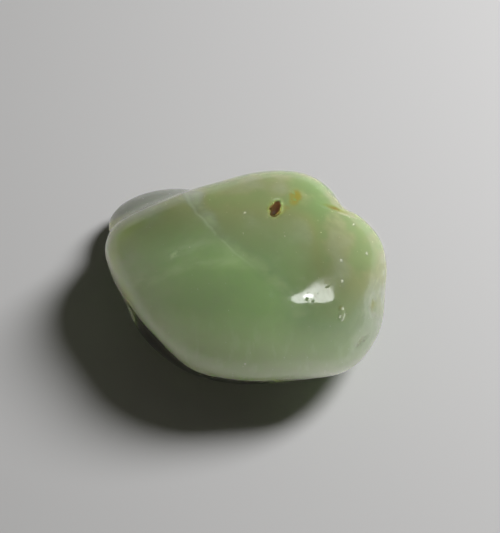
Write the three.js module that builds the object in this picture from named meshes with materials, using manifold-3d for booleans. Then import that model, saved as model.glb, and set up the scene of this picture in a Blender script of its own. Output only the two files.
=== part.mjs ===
// A tumbled pebble of prehnite, modelled as the one solid that it is. A lens-like body with a
// blunt end is drawn from its edge, a thin shelf grows out of its back, and the flats, hollows
// and pit that breaking and tumbling left are taken out of it. Units are millimetres and +Z is up.
// +X runs along the longest side towards the blunt end, and +Y points away from the undercut
// side. The origin lies on the surface that the stone rests on, under the middle of its outline.
import * as THREE from "three";
import { mergeVertices } from "three/addons/utils/BufferGeometryUtils.js";
import Module from "manifold-3d";

// How finely the surface and the pit are faceted: the edges are about 0.8 and 0.3 mm long
const STONE_FACETS = 20;
const PIT_FACETS = 4;

// A point inside the stone that every part of its surface faces
const HEART = new THREE.Vector3(0, 0, 6);

// The surface lies within this distance of the heart on every side, and is found by halving it
const REACH = 24;
const HALVINGS = 40;

// A length too short to divide by
const TINY = 1e-6;

const direction = (azimuth, elevation) => {
  const a = THREE.MathUtils.degToRad(azimuth);
  const e = THREE.MathUtils.degToRad(elevation);
  return new THREE.Vector3(Math.cos(e) * Math.cos(a), Math.cos(e) * Math.sin(a), Math.sin(e));
};

// The body is drawn as it looks from this direction, above its front, and RISE is up in that view
const SIGHT = direction(-90, 58);
const RISE = direction(90, 32);

// The body's edge in that view, from the heart: [across to the right, up]. It runs clockwise from
// the left tip, along the straight crest and over the blunt end, with the notch after [9.7, 7.6].
const EDGE = [
  [-14.2, 2.3], [-14.0, 3.8], [-13.4, 4.9], [-12.2, 5.8], [-9.9, 7.0], [-6.3, 8.45],
  [-3.2, 9.35], [0.3, 10.3], [2.9, 10.6], [5.4, 10.4], [7.1, 9.8], [8.5, 8.7], [9.7, 7.6],
  [10.1, 6.9], [10.9, 6.6], [12.2, 5.5], [13.4, 4.2], [14.2, 2.5], [14.4, 0.9], [14.0, -1.5],
  [13.4, -4.8], [12.3, -6.8], [11, -8.4], [9.5, -9.4], [7.2, -9.9], [3.5, -10.2],
  [-0.8, -10.4], [-4.6, -9.6], [-7.6, -8.1], [-10.1, -5.9], [-11.9, -2.9], [-13.4, -0.2],
];

// How many steps the edge is followed in
const EDGE_STEPS = 720;

// The body's section: how far it swells over its edge, towards the line of sight, and under it,
// and how full it is there, 2 being an ellipse and 1 a cone. The plane of the edge leans.
const OVER = { swell: 8.3, fullness: 2.3 };
const UNDER = { swell: 7.5, fullness: 2 };
const LEAN = 0.38;

// Lobes that grow out of the body: ellipsoids turned by a yaw about +Z and then a roll about
// their own length, in degrees. blend is how softly each joins on.
const lobes = [
  { name: "foot", centre: [0.2, -0.2, 2.8], half: [12, 9.5, 3.5], yaw: 0, roll: 0, blend: 2.6 },
  { name: "shelf", centre: [-7.9, 8.1, 3], half: [6.6, 4.9, 2.5], yaw: 4, roll: -16, blend: 2.5 },
];

// Flats: worn faces, each given by the way it faces, its distance from the heart and the radius
// that tumbling has left round its rim
const flats = [
  { name: "crest", azimuth: 115, elevation: 22, distance: 10.95, rim: 1.2 },
  { name: "left_undercut", azimuth: -140, elevation: -18, distance: 10.75, rim: 0.7 },
  { name: "front_undercut", azimuth: -98, elevation: -29, distance: 10.5, rim: 0.7 },
  { name: "right_slope", azimuth: 2, elevation: 64, distance: 7.8, rim: 3 },
  { name: "right_wall", azimuth: -8, elevation: 32, distance: 12.1, rim: 1.6 },
];

// Hollows: each is the mark of an ellipsoid pressed into the surface
const hollows = [
  { name: "notch", centre: [12, 9.4, 5], half: [2.8, 0.9, 8], yaw: 38, roll: 0, rim: 1.6 },
  { name: "right_dent", centre: [13.1, -4.4, 8.2], half: [1.4, 1, 2], yaw: -15, roll: 0, rim: 0.4 },
  { name: "right_chip", centre: [11.5, -8.7, 8.3], half: [1, 1.8, 1], yaw: -36, roll: 0, rim: 0.4 },
];

// The pit that an iron grain left in the top
const PIT = { centre: [2.87, 3.61, 12.4], half: [0.5, 1.0, 0.8], yaw: -24, roll: -25 };

// The radius round the flat spot that the stone rests on
const REST_RIM = 0.5;

// The smaller of two distances, with the crease between them filled to a radius of about blend
const smoothMin = (a, b, blend) => {
  const share = blend > 0 ? Math.max(blend - Math.abs(a - b), 0) / blend : 0;
  return Math.min(a, b) - (share * share * blend) / 4;
};
const smoothMax = (a, b, rim) => -smoothMin(-a, -b, rim);

// The distance from the heart to the body's edge, by the angle round the line of sight
function edgeRadius() {
  const points = EDGE.map(([across, up]) => new THREE.Vector3(across, up, 0));
  const curve = new THREE.CatmullRomCurve3(points, true, "centripetal");
  const round = curve
    .getSpacedPoints(EDGE_STEPS)
    .slice(1)
    .map((p) => [Math.atan2(p.y, p.x), Math.hypot(p.x, p.y)])
    .sort((a, b) => a[0] - b[0]);
  const count = round.length;
  return (angle) => {
    let low = 0;
    let high = count;
    while (low < high) {
      const middle = (low + high) >> 1;
      if (round[middle][0] < angle) low = middle + 1;
      else high = middle;
    }
    const [a1, r1] = round[low % count];
    const [a0, r0] = round[(low + count - 1) % count];
    const turn = 2 * Math.PI;
    const step = (a1 - a0 + turn) % turn;
    const share = step > 0 ? ((angle - a0 + turn) % turn) / step : 0;
    return r0 + (r1 - r0) * share;
  };
}

const radiusAt = edgeRadius();

// Distance along the ray from the heart to the body's surface, negative inside it
function bodyDistance(point) {
  const p = point.clone().sub(HEART);
  const up = p.dot(RISE);
  const along = p.dot(SIGHT) + LEAN * up;
  const { swell, fullness } = along > 0 ? OVER : UNDER;
  const outward = Math.hypot(p.x, up) / radiusAt(Math.atan2(up, p.x));
  const share = (outward ** fullness + (Math.abs(along) / swell) ** fullness) ** (1 / fullness);
  return p.length() * (1 - 1 / Math.max(share, TINY));
}

// How an ellipsoid is turned: a yaw about +Z, then a roll about its own length
function turnOf(shape) {
  const roll = THREE.MathUtils.degToRad(shape.roll);
  const yaw = THREE.MathUtils.degToRad(shape.yaw);
  return new THREE.Quaternion().setFromEuler(new THREE.Euler(roll, 0, yaw, "ZYX"));
}

// Distance to an ellipsoid's surface, negative inside it
function ellipsoidDistance(shape) {
  const centre = new THREE.Vector3(...shape.centre);
  const half = new THREE.Vector3(...shape.half);
  const back = turnOf(shape).invert();
  return (point) => {
    const local = point.clone().sub(centre).applyQuaternion(back).divide(half);
    const steepness = local.clone().divide(half).length();
    const share = local.length();
    return (share * (share - 1)) / Math.max(steepness, TINY);
  };
}

const lobeDistances = lobes.map(ellipsoidDistance);
const hollowDistances = hollows.map(ellipsoidDistance);
const flatNormals = flats.map((flat) => direction(flat.azimuth, flat.elevation));

function surfaceDistance(point) {
  const fromHeart = point.clone().sub(HEART);
  let solid = bodyDistance(point);
  flats.forEach((flat, i) => {
    solid = smoothMax(solid, fromHeart.dot(flatNormals[i]) - flat.distance, flat.rim);
  });
  lobes.forEach((lobe, i) => {
    solid = smoothMin(solid, lobeDistances[i](point), lobe.blend);
  });
  hollows.forEach((hollow, i) => {
    solid = smoothMax(solid, -hollowDistances[i](point), hollow.rim);
  });
  return smoothMax(solid, -point.z, REST_RIM);
}

// Where a ray from the heart leaves the stone
function surfacePoint(ray) {
  let inside = 0;
  let outside = REACH;
  for (let i = 0; i < HALVINGS; i += 1) {
    const middle = (inside + outside) / 2;
    const point = ray.clone().multiplyScalar(middle).add(HEART);
    if (surfaceDistance(point) < 0) inside = middle;
    else outside = middle;
  }
  return ray.clone().multiplyScalar(inside).add(HEART);
}

// A closed ball of small faces, each corner of it moved to where place puts it
function shapedBall(facets, place) {
  const ball = new THREE.IcosahedronGeometry(1, facets);
  ball.deleteAttribute("normal");
  ball.deleteAttribute("uv");
  const geometry = mergeVertices(ball);
  const position = geometry.getAttribute("position");
  for (let i = 0; i < position.count; i += 1) {
    const ray = new THREE.Vector3().fromBufferAttribute(position, i).normalize();
    const point = place(ray);
    position.setXYZ(i, point.x, point.y, point.z);
  }
  return geometry;
}

function ellipsoid(shape, facets) {
  const centre = new THREE.Vector3(...shape.centre);
  const half = new THREE.Vector3(...shape.half);
  const turn = turnOf(shape);
  return shapedBall(facets, (ray) => ray.multiply(half).applyQuaternion(turn).add(centre));
}

const manifold = await Module();
manifold.setup();

const solidOf = (geometry) =>
  new manifold.Manifold(
    new manifold.Mesh({
      numProp: 3,
      vertProperties: geometry.getAttribute("position").array,
      triVerts: new Uint32Array(geometry.index.array),
    }),
  );

function geometryOf(solid) {
  const mesh = solid.getMesh();
  const geometry = new THREE.BufferGeometry();
  geometry.setAttribute("position", new THREE.BufferAttribute(mesh.vertProperties, 3));
  geometry.setIndex(new THREE.BufferAttribute(mesh.triVerts, 1));
  geometry.computeVertexNormals();
  return geometry;
}

const unpitted = solidOf(shapedBall(STONE_FACETS, surfacePoint));
const pitted = unpitted.subtract(solidOf(ellipsoid(PIT, PIT_FACETS)));

const prehnite = new THREE.MeshStandardMaterial({
  color: new THREE.Color().setRGB(0.5, 0.57, 0.4, THREE.SRGBColorSpace),
  roughness: 0.15,
  metalness: 0,
});

// The origin goes to the floor under the middle of the outline
const geometry = geometryOf(pitted);
geometry.computeBoundingBox();
const middle = geometry.boundingBox.getCenter(new THREE.Vector3());
geometry.translate(-middle.x, -middle.y, -geometry.boundingBox.min.z);

const stone = new THREE.Mesh(geometry, prehnite);
stone.name = "prehnite_pebble";

const model = new THREE.Group();
model.add(stone);
export default model;
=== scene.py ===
# %% [markdown]
# A tumbled prehnite pebble. Prehnite is a pale green, cloudy mineral. After days in a tumbler with
# grit and then with polish, a piece of it has soft edges, a glossy skin and a few marks that were
# too deep to wear away. Here its measured solid is dressed: the skin is made smooth, small marks
# are pressed into it, and a material gives it its green and milky zones.

# %% Load the measured solid
import math

import bpy
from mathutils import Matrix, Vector, noise


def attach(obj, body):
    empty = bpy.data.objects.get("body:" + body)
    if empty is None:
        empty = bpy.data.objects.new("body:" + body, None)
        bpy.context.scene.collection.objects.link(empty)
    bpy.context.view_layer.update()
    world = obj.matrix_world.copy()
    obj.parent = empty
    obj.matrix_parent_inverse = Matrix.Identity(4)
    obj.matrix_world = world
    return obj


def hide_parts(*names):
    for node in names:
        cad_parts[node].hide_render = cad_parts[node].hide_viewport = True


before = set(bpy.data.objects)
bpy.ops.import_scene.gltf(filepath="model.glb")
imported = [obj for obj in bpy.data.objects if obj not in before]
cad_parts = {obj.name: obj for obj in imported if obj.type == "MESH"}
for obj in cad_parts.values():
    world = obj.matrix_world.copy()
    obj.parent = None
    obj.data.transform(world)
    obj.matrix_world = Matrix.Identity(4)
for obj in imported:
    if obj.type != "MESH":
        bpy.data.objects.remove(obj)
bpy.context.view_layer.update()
MM = 0.001

# %% [markdown]
# The camera looks down on the pebble from the front, as somebody bending over a table does. Its
# place follows from three measures: how high it stands over the table, how far away it is, and how
# large a millimetre of the stone shows in the picture. A long lens keeps the outline undistorted.

# %% Camera
PICTURE_HEIGHT = 533
PIXELS_PER_MM = 10.07
CAMERA_DISTANCE = 160 * MM
CAMERA_HEIGHT = math.radians(58)
AIM = Vector((0.497, 0.338, 6.45)) * MM
SENSOR = 36
NEAREST = 10 * MM

bpy.ops.object.select_all(action="DESELECT")
backwards = Vector((0, -math.cos(CAMERA_HEIGHT), math.sin(CAMERA_HEIGHT)))
bpy.ops.object.camera_add(location=AIM + backwards * CAMERA_DISTANCE)
camera = bpy.context.object
camera.rotation_euler = backwards.to_track_quat("Z", "Y").to_euler()
camera.data.sensor_width = SENSOR
camera.data.lens = SENSOR * PIXELS_PER_MM * CAMERA_DISTANCE / MM / PICTURE_HEIGHT
camera.data.clip_start = NEAREST
bpy.context.scene.camera = camera
print("lens in mm:", round(camera.data.lens, 1))

# %% [markdown]
# The skin. The solid is made of flat triangles nearly a millimetre long, which would show in the
# polish. A copy of it is merged, subdivided once so that its corners round off, and then remeshed,
# which gives small even faces all over. A short run of the Smooth modifier takes out the last
# ripples. The alternative, shading the triangles smooth, keeps their corners in the outline.

# %% Smooth skin
GRAIN = 0.19 * MM
SAME_POINT = 0.01 * MM

bpy.ops.object.select_all(action="DESELECT")
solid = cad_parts["prehnite_pebble"]
solid.select_set(True)
bpy.context.view_layer.objects.active = solid
bpy.ops.object.duplicate()
stone = bpy.context.object
stone.name = "polished_prehnite"
stone.data.name = "polished_prehnite"
stone.data.materials.clear()
bpy.ops.object.mode_set(mode="EDIT")
bpy.ops.mesh.select_all(action="SELECT")
bpy.ops.mesh.remove_doubles(threshold=SAME_POINT)
bpy.ops.mesh.normals_make_consistent(inside=False)
bpy.ops.object.mode_set(mode="OBJECT")


def finish_with(kind, **settings):
    """Adds a modifier to the active object and applies it."""
    modifier = bpy.context.object.modifiers.new(kind.title(), kind)
    for name, value in settings.items():
        setattr(modifier, name, value)
    bpy.ops.object.modifier_apply(modifier=modifier.name)


finish_with("SUBSURF", levels=1, render_levels=1)
finish_with("REMESH", mode="VOXEL", voxel_size=GRAIN)
finish_with("SMOOTH", factor=0.5, iterations=12)
bpy.ops.object.shade_smooth()
print("skin faces:", len(stone.data.polygons))

# %% [markdown]
# The marks on the stone are placed as somebody looking at it from the front and above sees them:
# "across" to the right, "up" the stone, and "towards" the eye, in millimetres. That frame is the
# stone's own, tipped back by the angle that the line of sight leaves to the upright.

# %% The tipped frame
TIP = math.radians(90) - CAMERA_HEIGHT


def tipped(point):
    """The point, in metres, as across, up and towards in millimetres."""
    x, y, z = point / MM
    up = y * math.cos(TIP) + z * math.sin(TIP)
    towards = z * math.cos(TIP) - y * math.sin(TIP)
    return Vector((x, up, towards))


print("top of the stone:", [round(c, 1) for c in tipped(Vector((0, 0, stone.dimensions.z)))])

# %% [markdown]
# Tumbling never makes a surface quite even, and that shows in how the reflections bend. Each point
# of the skin is moved a little along its normal by slow noise, in waves of two lengths.

# %% Waviness
# Length and height of each kind of wave, in millimetres
WAVES = [(5, 0.05), (1.6, 0.008)]

normals = [v.normal.copy() for v in stone.data.vertices]
for vertex, normal in zip(stone.data.vertices, normals):
    place = vertex.co / MM
    wave = sum(height * noise.noise(place / length) for length, height in WAVES)
    vertex.co += normal * wave * MM
stone.data.update()
print("waves in mm:", WAVES)

# %% [markdown]
# Marks that are deep enough to catch the light are pressed in. Each is an ellipse on the skin,
# given by its middle in the tipped frame, its half length and half width, the angle that its length
# makes with "across", and its depth. Noise makes the rims uneven.

# %% Pressed marks
MARKS = {
    "iron pit": ((3.0, 9.4, 8.3), 0.8, 0.42, 62, 0.3),
    "pit's foot": ((2.7, 8.6, 9.0), 0.35, 0.25, 20, 0.12),
    "nick": ((9.2, -0.9, 12.2), 0.45, 0.18, 70, 0.12),
    "round nick": ((9.15, -0.2, 12.2), 0.22, 0.2, 0, 0.1),
    "notch crease": ((9.2, 9.3, 5.3), 1.9, 0.16, -18, 0.12),
    "wall dent": ((12.45, 0.0, 8.4), 1.2, 0.3, 80, 0.1),
    "wall scar": ((11.1, -3.5, 11.0), 1.0, 0.22, 42, 0.1),
}
# No mark reaches further than this from its middle
REACH = 2.5
# How wide the sloping rim is, as a share of the mark, and how much and how finely it is bent
RIM = 0.35
UNEVEN = 0.35
UNEVEN_SIZE = 0.5


def pressed(place, mark):
    """How deep the mark is at a place."""
    middle, half_length, half_width, angle, depth = mark
    offset = place - Vector(middle)
    if offset.length > REACH:
        return 0
    turn = math.radians(angle)
    along = offset.x * math.cos(turn) + offset.y * math.sin(turn)
    beside = offset.y * math.cos(turn) - offset.x * math.sin(turn)
    share = math.hypot(along / half_length, beside / half_width)
    share += UNEVEN * noise.noise(place / UNEVEN_SIZE)
    return depth * min(max((1 + RIM - share) / (2 * RIM), 0), 1)


for vertex, normal in zip(stone.data.vertices, normals):
    place = tipped(vertex.co)
    depth = max(pressed(place, mark) for mark in MARKS.values())
    vertex.co -= normal * depth * MM
stone.data.update()
print("pressed:", ", ".join(MARKS))

# %% [markdown]
# The material's patterns use the same frame. The healed fractures of the stone stand edge-on to
# somebody looking along "towards", so each is a line in across and up, and it goes through the
# stone behind that line. A small class lets Python do the sums: each sign adds a node.


# %% Shader sums
class Value:
    """One output of a shader node, which can be added, multiplied and so on."""

    def __init__(self, socket):
        self.socket = socket
        self.tree = socket.id_data

    def node(self, kind, settings, inputs, output=0):
        """Adds a node, sets it up and then feeds its inputs, by number or name."""
        return add_node(self.tree, kind, settings, inputs, output)

    def sum(self, operation, *terms):
        return self.node("ShaderNodeMath", {"operation": operation}, dict(enumerate(terms)))

    def __add__(self, other):
        return self.sum("ADD", self, other)

    __radd__ = __add__

    def __sub__(self, other):
        return self.sum("SUBTRACT", self, other)

    def __rsub__(self, other):
        return self.sum("SUBTRACT", other, self)

    def __mul__(self, other):
        return self.sum("MULTIPLY", self, other)

    __rmul__ = __mul__

    def __abs__(self):
        return self.sum("ABSOLUTE", self)


def add_node(tree, kind, settings, inputs, output=0):
    """Adds a node with its settings and inputs, and gives one of its outputs."""
    made = tree.nodes.new(kind)
    for name, value in settings.items():
        setattr(made, name, value)
    for name, value in inputs.items():
        if isinstance(value, Value):
            tree.links.new(value.socket, made.inputs[name])
        else:
            made.inputs[name].default_value = value
    return Value(made.outputs[output])


def rise(value, low, high):
    """0 at low and 1 at high, with a soft step between them."""
    inputs = {"Value": value, "From Min": low, "From Max": high}
    return value.node("ShaderNodeMapRange", {"interpolation_type": "SMOOTHSTEP"}, inputs)


def line(distance, width):
    """1 where the distance is 0, fading to 0 at the given width on both sides."""
    return 1 - rise(abs(distance), 0, width)


def blend(share, first, second):
    """A colour that goes from the first to the second as share goes from 0 to 1."""
    inputs = {"Factor": share, 6: first, 7: second}
    return share.node("ShaderNodeMix", {"data_type": "RGBA"}, inputs, 2)


def moved(where, operation, other):
    return where.node("ShaderNodeVectorMath", {"operation": operation}, {0: where, 1: other})


def length_of(where):
    return where.node("ShaderNodeVectorMath", {"operation": "LENGTH"}, {0: where}, "Value")


def part_of(where, axis):
    return where.node("ShaderNodeSeparateXYZ", {}, {0: where}, axis)


def colour(red, green, blue):
    """A colour as a screen shows it, 0 to 255, in the linear values that a shader uses."""
    def linear(part):
        part = part / 255
        return part / 12.92 if part <= 0.04045 else ((part + 0.055) / 1.055) ** 2.4
    return (linear(red), linear(green), linear(blue), 1)


# %% [markdown]
# More helpers draw what minerals show: cloudy noise, noise drawn out into fibres, ellipsoid zones
# and scattered specks. A Mapping node places a zone, by bringing the ellipsoid to a ball of
# radius 1, and it draws out the fibres in the same way.


# %% Shader shapes
def cloud(where, size, detail=3, output=0):
    """Soft noise whose blotches are about size millimetres wide."""
    inputs = {"Vector": where, "Scale": 1 / size, "Detail": detail}
    return where.node("ShaderNodeTexNoise", {}, inputs, output)


def turned(where, middle, half, angle):
    """The place as seen from the middle of an ellipsoid, in its own half lengths."""
    inputs = {0: where, 1: middle, 2: (0, 0, math.radians(angle)), 3: half}
    return where.node("ShaderNodeMapping", {"vector_type": "TEXTURE"}, inputs)


def stretched(where, half, angle):
    """The place in which round blotches of noise are drawn out to these lengths."""
    return turned(where, (0, 0, 0), half, angle)


def zone(where, middle, half, angle=0, soft=1):
    """1 in the middle of an ellipsoid and 0 outside it, soft being how much of it is rim."""
    return 1 - rise(length_of(turned(where, middle, half, angle)), 1 - soft, 1)


def specks(where, spacing, size, share):
    """Dots of the given size, in a share of the cells of a loose grid."""
    inputs = {"Vector": where, "Scale": 1 / spacing}
    distance = where.node("ShaderNodeTexVoronoi", {}, inputs, "Distance")
    lot = part_of(where.node("ShaderNodeTexVoronoi", {}, inputs, "Color"), 0)
    dot = 1 - rise(distance, size / spacing / 2, size / spacing)
    return dot * rise(lot, 1 - share, 1.01 - share)


print("shapes ready")

# %% [markdown]
# Where everything is. The plain place is bent by slow noise, so that nothing is drawn with a ruler,
# and the fractures are then sums of the bent place. Each is a signed distance: negative to the left
# of the main fracture or under the second one.

# %% Places and fractures
# How far, in millimetres from end to end, slow noise bends the place and fine noise frays it
BEND = (1.2, 1.2, 1.2)
FRAY = (0.5, 0.5, 0.5)
# What the colours of a noise swing round
NOISE_MEAN = (0.5, 0.5, 0.5)

prehnite = bpy.data.materials.new("prehnite")
prehnite.use_nodes = True
tree = prehnite.node_tree
tree.nodes.clear()
own = add_node(tree, "ShaderNodeTexCoord", {}, {}, "Object")
own = own.node("ShaderNodeVectorMath", {"operation": "SCALE"}, {0: own, "Scale": 1 / MM})
flat = own.node("ShaderNodeMapping", {}, {0: own, 2: (-TIP, 0, 0)})
bend = moved(cloud(own, 4, 2, "Color"), "SUBTRACT", NOISE_MEAN)
fray = moved(cloud(own, 0.8, 2, "Color"), "SUBTRACT", NOISE_MEAN)
bent = moved(flat, "ADD", moved(bend, "MULTIPLY", BEND))
frayed = moved(flat, "ADD", moved(fray, "MULTIPLY", FRAY))
across = part_of(bent, 0)
up = part_of(bent, 1)

# The main fracture is an S from the crest down to the middle of the front edge
fracture = across - 4.35 + 10.3 * rise(up, -1.6, 11.8)
soft = 0.25 + 1.5 * (1 - rise(up, 1, 8))
left = 1 - rise(fracture, soft * -1, soft)
second = up - 2.5 - 1.55 * rise(across, -9, -4)
print("place nodes:", len(tree.nodes))

# %% [markdown]
# The colours. The stone is two shades of green that meet at the main fracture, and its low front
# is milky, partly its own milky zone and partly painted light for the side away from the window.
# Pale veils lie along the fractures, and wisps and a tuft of pale fibre lie on the left.
# The colours are darker than they show, because much light spreads to them through the stone. The
# right green, the crest and the right side are painted darker still, as painted shade, since that
# light favours the side that faces the window.

# %% Zones and veils
streaks = cloud(stretched(bent, (2.0, 0.8, 1.5), 17), 1)
fibres = cloud(stretched(bent, (0.6, 2.5, 1.5), -31), 1)
upright = cloud(stretched(bent, (0.8, 2.4, 1.5), 0), 1)
mottle = cloud(bent, 2.6, 4)
grainy = cloud(own, 0.5, 2)

# The right green is darker than the left partly as painted shade on the side the window lights.
RIGHT_GREEN = colour(81, 116, 55)
LEFT_GREEN = colour(96, 137, 61)
MILKY = colour(132, 162, 96)
DEEP = colour(90, 124, 60)
PALE = colour(156, 182, 124)
GLOW_PAINTED_GREEN = colour(98, 144, 46)
SHADE_PAINTED_GREEN = colour(46, 64, 37)
SHADED = colour(12, 10, 12)

body = blend(left, RIGHT_GREEN, LEFT_GREEN)
# Painted shade: the crest is blended towards a darker green against the light that falls on it.
crest = rise(up + 0.15 * abs(across), 4.5, 11)
body = blend(crest * 0.8, body, SHADE_PAINTED_GREEN)
middle_green = zone(bent, (5.6, 4.6, 11), (3.2, 6.5, 9), 8)
body = blend(middle_green * 0.35, body, LEFT_GREEN)
# Partly painted light: the low front and the low left are paled to stand for light spreading to
# them inside.
low = 1 - rise(up + 0.1 * across + 2.4, -1.6, 2.2)
body = blend(low * 0.65, body, MILKY)
low_left_light = zone(bent, (-7.8, -2.4, 11.5), (5, 3.2, 7), -38)
body = blend(low_left_light * 0.65, body, PALE)
deep_zone = zone(bent, (-2.6, 0.8, 13), (5.6, 3.3, 6), 6)
body = blend(deep_zone * (1 - rise(second, -0.5, 0.4)) * 0.7, body, DEEP)
milky_left = zone(bent, (-10.4, 2.6, 11), (3.4, 1.8, 6), 12)
body = blend(milky_left * (0.4 + 0.6 * rise(streaks, 0.35, 0.6)) * 0.55, body, MILKY)

meeting = zone(bent, (-1.3, 5.0, 12), (3.0, 1.9, 6), -35) * (0.4 + 0.6 * rise(mottle, 0.35, 0.6))
body = blend(meeting * 0.55, body, MILKY)
haze = line(fracture - 0.8, 1.4) * rise(mottle, 0.3, 0.65) * rise(up, -4, 1)
body = blend(haze * 0.35, body, MILKY)
crack = line(fracture - 0.05, 0.3) * rise(mottle, 0.3, 0.5) * rise(up, 2.5, 6)
body = blend(crack * 0.26, body, PALE)
veil = line(second, 0.9) * left * rise(across, -12, -8) * (0.3 + 0.7 * rise(streaks, 0.3, 0.6))
body = blend(veil * 0.55, body, MILKY)
wisps = zone(bent, (-5.2, 5.5, 11.8), (4.2, 1.1, 5), 21) * rise(streaks, 0.3, 0.65)
body = blend(wisps * 0.3, body, PALE)
tuft = zone(frayed, (-6.7, 4.8, 12.1), (1.2, 0.45, 2), 35) * rise(grainy, 0.4, 0.6)
body = blend(tuft * 0.75, body, PALE)
print("zone nodes:", len(tree.nodes))

# %% [markdown]
# The right side has a soft border where the body turns into the blunt lobe, and a steep wall whose
# fibres run down it. Along the front edge the light that comes through is painted in, as a
# yellower green band, a painted glow.
# Under that edge the stone lies in its own shade. Light that spreads inside would come out there
# and glow, so the undercut is painted nearly black. The thin shelf at the back is painted pale,
# for the lit table seen through it.

# %% Lobe, wall and edge
# The front edge lies on a plane that is this high in the middle and climbs this steeply backwards
EDGE_HEIGHT = 9.4
EDGE_SLOPE = 0.27

# Painted shade: the side that faces the window is painted darker green.
window_side_shade = rise(across, 3, 9) * rise(up, -2, 4)
body = blend(window_side_shade * 0.93, body, SHADE_PAINTED_GREEN)
lobe = rise(across, 6.8, 9.2) * rise(up, -1, 4)
body = blend(lobe * 0.03, body, MILKY)
wall = rise(across - 10.7 - 0.61 * up, -0.5, 1.4)
body = blend(wall * (0.04 + 0.16 * rise(fibres, 0.42, 0.62)), body, MILKY)
height = part_of(own, 2)
back = part_of(own, 1)
over_edge = height - EDGE_HEIGHT - EDGE_SLOPE * back
front = (1 - rise(back, -5, -3.5)) * (1 - rise(across, 2, 6.5))
# Painted glow: a yellow-green band along the front edge stands for light coming through.
edge = line(over_edge - 0.4, 1.7) * (1 - rise(back, 1, 4)) * (1 - rise(across, 2, 8))
body = blend(edge * 0.85, body, GLOW_PAINTED_GREEN)
body = blend(rise(upright, 0.5, 0.7) * low * 0.15, body, PALE)
body = blend(rise(mottle, 0.45, 0.8) * 0.15, body, MILKY)
under = (1 - rise(over_edge, -0.7, -0.1)) * front * rise(height, 1.2, 2.4)
body = blend(under, body, SHADED)
shelf = rise(back, 7.2, 8.4) * (1 - rise(height, 5, 7.5)) * (1 - rise(across, -3, 0))
# Painted light: the shelf is paled to stand for the lit table seen through it.
body = blend(shelf * 0.5, body, PALE)
print("body nodes:", len(tree.nodes))

# %% [markdown]
# Stains and specks. An iron grain has rusted out of the pit. It has left brown round the pit and a
# trail of ochre to a spot near the crest, and the crease at the notch is brown too. The dents are
# darker green, small pale dots are scattered over the stone, and two by the nick are a painted
# glint.

# %% Stains
OCHRE = colour(64, 57, 20)
RUST = colour(22, 10, 5)
DENT_DARK_GREEN = colour(62, 82, 34)
PALE_DOT_AND_GLINT = colour(214, 220, 190)
BROWN = colour(48, 38, 16)
# Middle, half lengths and angle of the darker green in the wall's dent, its scar and the round nick
DENT_DARKENING = [
    ((12.45, 0.0, 8.4), (0.35, 1.3, 1.5), -10),
    ((11.1, -3.5, 11.0), (0.3, 1.2, 1.5), -48),
    ((9.15, -0.2, 12.1), (0.3, 0.3, 1), 0),
]
# Pale dots; the two by the nick, at 8.99 and 9.06 across, are a painted glint.
PALE_DOTS_AND_GLINT = [
    (-0.03, 8.92, 9.8), (9.38, 2.26, 10.5), (10.75, 7.86, 5.7), (11.94, 4.98, 7.1),
    (9.35, 4.29, 9.3), (0.07, -5.5, 14), (8.99, -1.13, 12.4), (9.06, -1.0, 12.4),
]
PALE_DOT_HALF = (0.16, 0.16, 0.6)

ochre = zone(frayed, (4.95, 10.45, 7), (0.8, 1.3, 2), -20, 0.6) * rise(grainy, 0.38, 0.5)
rust_rim = zone(frayed, (2.85, 9.1, 8.4), (1.1, 1.4, 2), -25, 0.6) * rise(grainy, 0.36, 0.5)
trail = zone(frayed, (3.9, 9.3, 8), (1.0, 0.6, 2), 35) * rise(grainy, 0.38, 0.6)
crease = zone(frayed, (9.0, 9.4, 5.3), (2.2, 0.3, 2), -18)
stained = body
for share, stain in [(ochre, OCHRE), (rust_rim, BROWN), (trail * 0.6, OCHRE), (crease, BROWN)]:
    stained = blend(share, stained, stain)
pit = zone(frayed, (3.0, 9.4, 8.2), (0.5, 0.95, 1.6), -32, 0.2)
stained = blend(pit, stained, RUST)
for middle, half, angle in DENT_DARKENING:
    dent_dark = zone(frayed, middle, half, angle, 0.8) * rise(grainy, 0.35, 0.6)
    stained = blend(dent_dark * 0.8, stained, DENT_DARK_GREEN)
for middle in PALE_DOTS_AND_GLINT:
    stained = blend(zone(frayed, middle, PALE_DOT_HALF) * 0.8, stained, PALE_DOT_AND_GLINT)
stained = blend(specks(frayed, 1.3, 0.08, 0.3) * 0.4, stained, PALE_DOT_AND_GLINT)
print("stain nodes:", len(tree.nodes))

# %% [markdown]
# The surface itself. In this cloudy mineral the light travels nearly through the whole stone
# before it comes out, so a body where light spreads under the skin gets a spread of the same
# order. Blender's skin method fits that distance to the colour. With a fixed distance the low
# front stayed dark. Only in the thin shelf is clear mineral mixed in, which lets the eye through
# to the far side, and a volume dims and greens what goes through it.

# %% Skin and body
GLOSS = 0.05
PREHNITE_IOR = 1.63
# How far light spreads, and the share of that distance for red, green and blue
SPREAD = 20 * MM
SPREAD_BY_COLOUR = (0.85, 1.0, 0.5)
# How strongly and how deeply scratches and dirt mark the polish
RELIEF = 0.3
RELIEF_DEPTH = 0.02 * MM
# The colour that light takes on inside, and how dense that colour is for each metre
INSIDE = colour(176, 200, 140)
DENSITY = 60.0
# Bits of dirt that break the highlight, and their half lengths
HIGHLIGHT_DIRT = [(5.85, 0.6, 13), (6.5, 0.45, 12.8), (7.9, 1.8, 11.8)]
DIRT_HALF = (0.26, 0.16, 1)

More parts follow.
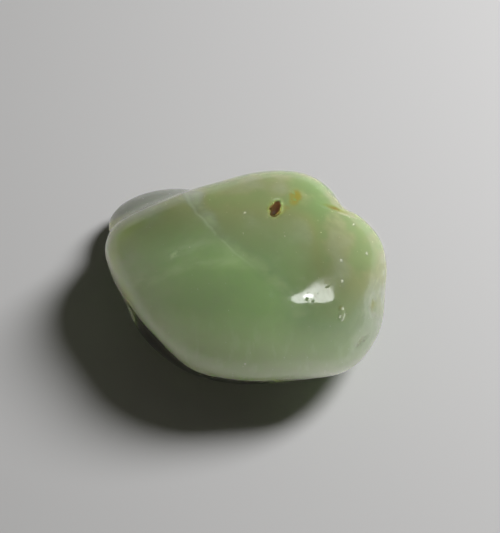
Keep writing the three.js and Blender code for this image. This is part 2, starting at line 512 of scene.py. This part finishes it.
clearness = 0.3 * shelf
dirt = specks(frayed, 0.55, 0.07, 0.35) + 0.5 * crease
for middle in HIGHLIGHT_DIRT:
    dirt = dirt + 2 * zone(frayed, middle, DIRT_HALF, 40, 0.5)
roughness = GLOSS + 0.35 * (dirt + pit) + 0.05 * rise(cloud(own, 1.5), 0.5, 0.7)
scratches = cloud(stretched(own, (0.06, 3, 0.5), 28), 1, 2)
grain = rise(scratches, 0.6, 0.7) * 0.4 + dirt * 0.6
relief = own.node("ShaderNodeBump", {"invert": True}, {
    "Strength": RELIEF,
    "Distance": RELIEF_DEPTH,
    "Height": grain,
})
cloudy = own.node("ShaderNodeBsdfPrincipled", {"subsurface_method": "RANDOM_WALK_SKIN"}, {
    "Base Color": stained,
    "Roughness": roughness,
    "IOR": PREHNITE_IOR,
    "Subsurface Weight": 1.0,
    "Subsurface Radius": SPREAD_BY_COLOUR,
    "Subsurface Scale": SPREAD,
    "Normal": relief,
})
clear = own.node("ShaderNodeBsdfPrincipled", {}, {
    "Base Color": (1, 1, 1, 1),
    "Roughness": roughness,
    "IOR": PREHNITE_IOR,
    "Transmission Weight": 1.0,
    "Normal": relief,
})
surface = own.node("ShaderNodeMixShader", {}, {0: clearness, 1: cloudy, 2: clear})
inside = own.node("ShaderNodeVolumeAbsorption", {}, {"Color": INSIDE, "Density": DENSITY})
out = tree.nodes.new("ShaderNodeOutputMaterial")
tree.links.new(surface.socket, out.inputs["Surface"])
tree.links.new(inside.socket, out.inputs["Volume"])
stone.data.materials.append(prehnite)
print("material nodes:", len(tree.nodes))

# %% [markdown]
# The table is a plain pale sheet, only there to take the shadow.

# %% Table
TABLE_SIZE = 0.6
PAPER = (0.62, 0.615, 0.62, 1)
PAPER_ROUGHNESS = 0.6

bpy.ops.object.select_all(action="DESELECT")
bpy.ops.mesh.primitive_plane_add(size=TABLE_SIZE)
table = bpy.context.object
table.name = "table"
paper = bpy.data.materials.new("paper")
paper.use_nodes = True
sheet = paper.node_tree.nodes["Principled BSDF"]
sheet.inputs["Base Color"].default_value = PAPER
sheet.inputs["Roughness"].default_value = PAPER_ROUGHNESS
table.data.materials.append(paper)
print("table in m:", TABLE_SIZE)

# %% [markdown]
# One side window lights the stone from the right, a little behind it. It is made of three lamps in
# nearly the same direction. The key does the lighting and isn't mirrored. Two panes, a broad one
# and a narrow bright one, are only mirrored, so the highlight can be as narrow and as dim as the
# polish shows it. The room adds a little light from all round.

# %% Light
KEY_DISTANCE = 0.24
PANE_DISTANCE = 0.6
# Name, azimuth, elevation, size in metres, power in watts and turn
PANES = [
    ("pane", 28.9, 45.4, (0.06, 0.235), 0.275, 6),
    ("bright pane", 29.3, 46.6, (0.02, 0.08), 0.055, 6),
]
ROOM_COLOUR = (1, 1, 0.78, 1)
ROOM_STRENGTH = 0.056


def aimed_lamp(name, azimuth, elevation, distance, size, power, turn=0):
    """An oval lamp that shines on the stone from a direction, turned about its own axis."""
    a = math.radians(azimuth)
    e = math.radians(elevation)
    towards = Vector((math.cos(e) * math.cos(a), math.cos(e) * math.sin(a), math.sin(e)))
    bpy.ops.object.light_add(type="AREA", location=AIM + towards * distance)
    lamp = bpy.context.object
    lamp.name = name
    lamp.rotation_euler = towards.to_track_quat("Z", "Y").to_euler()
    lamp.rotation_euler.rotate_axis("Z", math.radians(turn))
    lamp.data.shape = "ELLIPSE"
    lamp.data.size = size[0]
    lamp.data.size_y = size[1]
    lamp.data.energy = power
    return lamp


key = aimed_lamp("key", 27, 46, KEY_DISTANCE, (0.075, 0.13), 0.66)
key.visible_glossy = False
key.visible_transmission = False
for name, azimuth, elevation, size, power, turn in PANES:
    pane = aimed_lamp(name, azimuth, elevation, PANE_DISTANCE, size, power, turn)
    pane.visible_diffuse = False
    pane.visible_transmission = False
    pane.visible_volume_scatter = False

world = bpy.data.worlds.new("room")
bpy.context.scene.world = world
world.use_nodes = True
background = world.node_tree.nodes["Background"]
background.inputs["Color"].default_value = ROOM_COLOUR
background.inputs["Strength"].default_value = ROOM_STRENGTH
bpy.context.scene.view_settings.view_transform = "Standard"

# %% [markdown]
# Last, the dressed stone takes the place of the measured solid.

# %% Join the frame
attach(stone, "root")
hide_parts("prehnite_pebble")
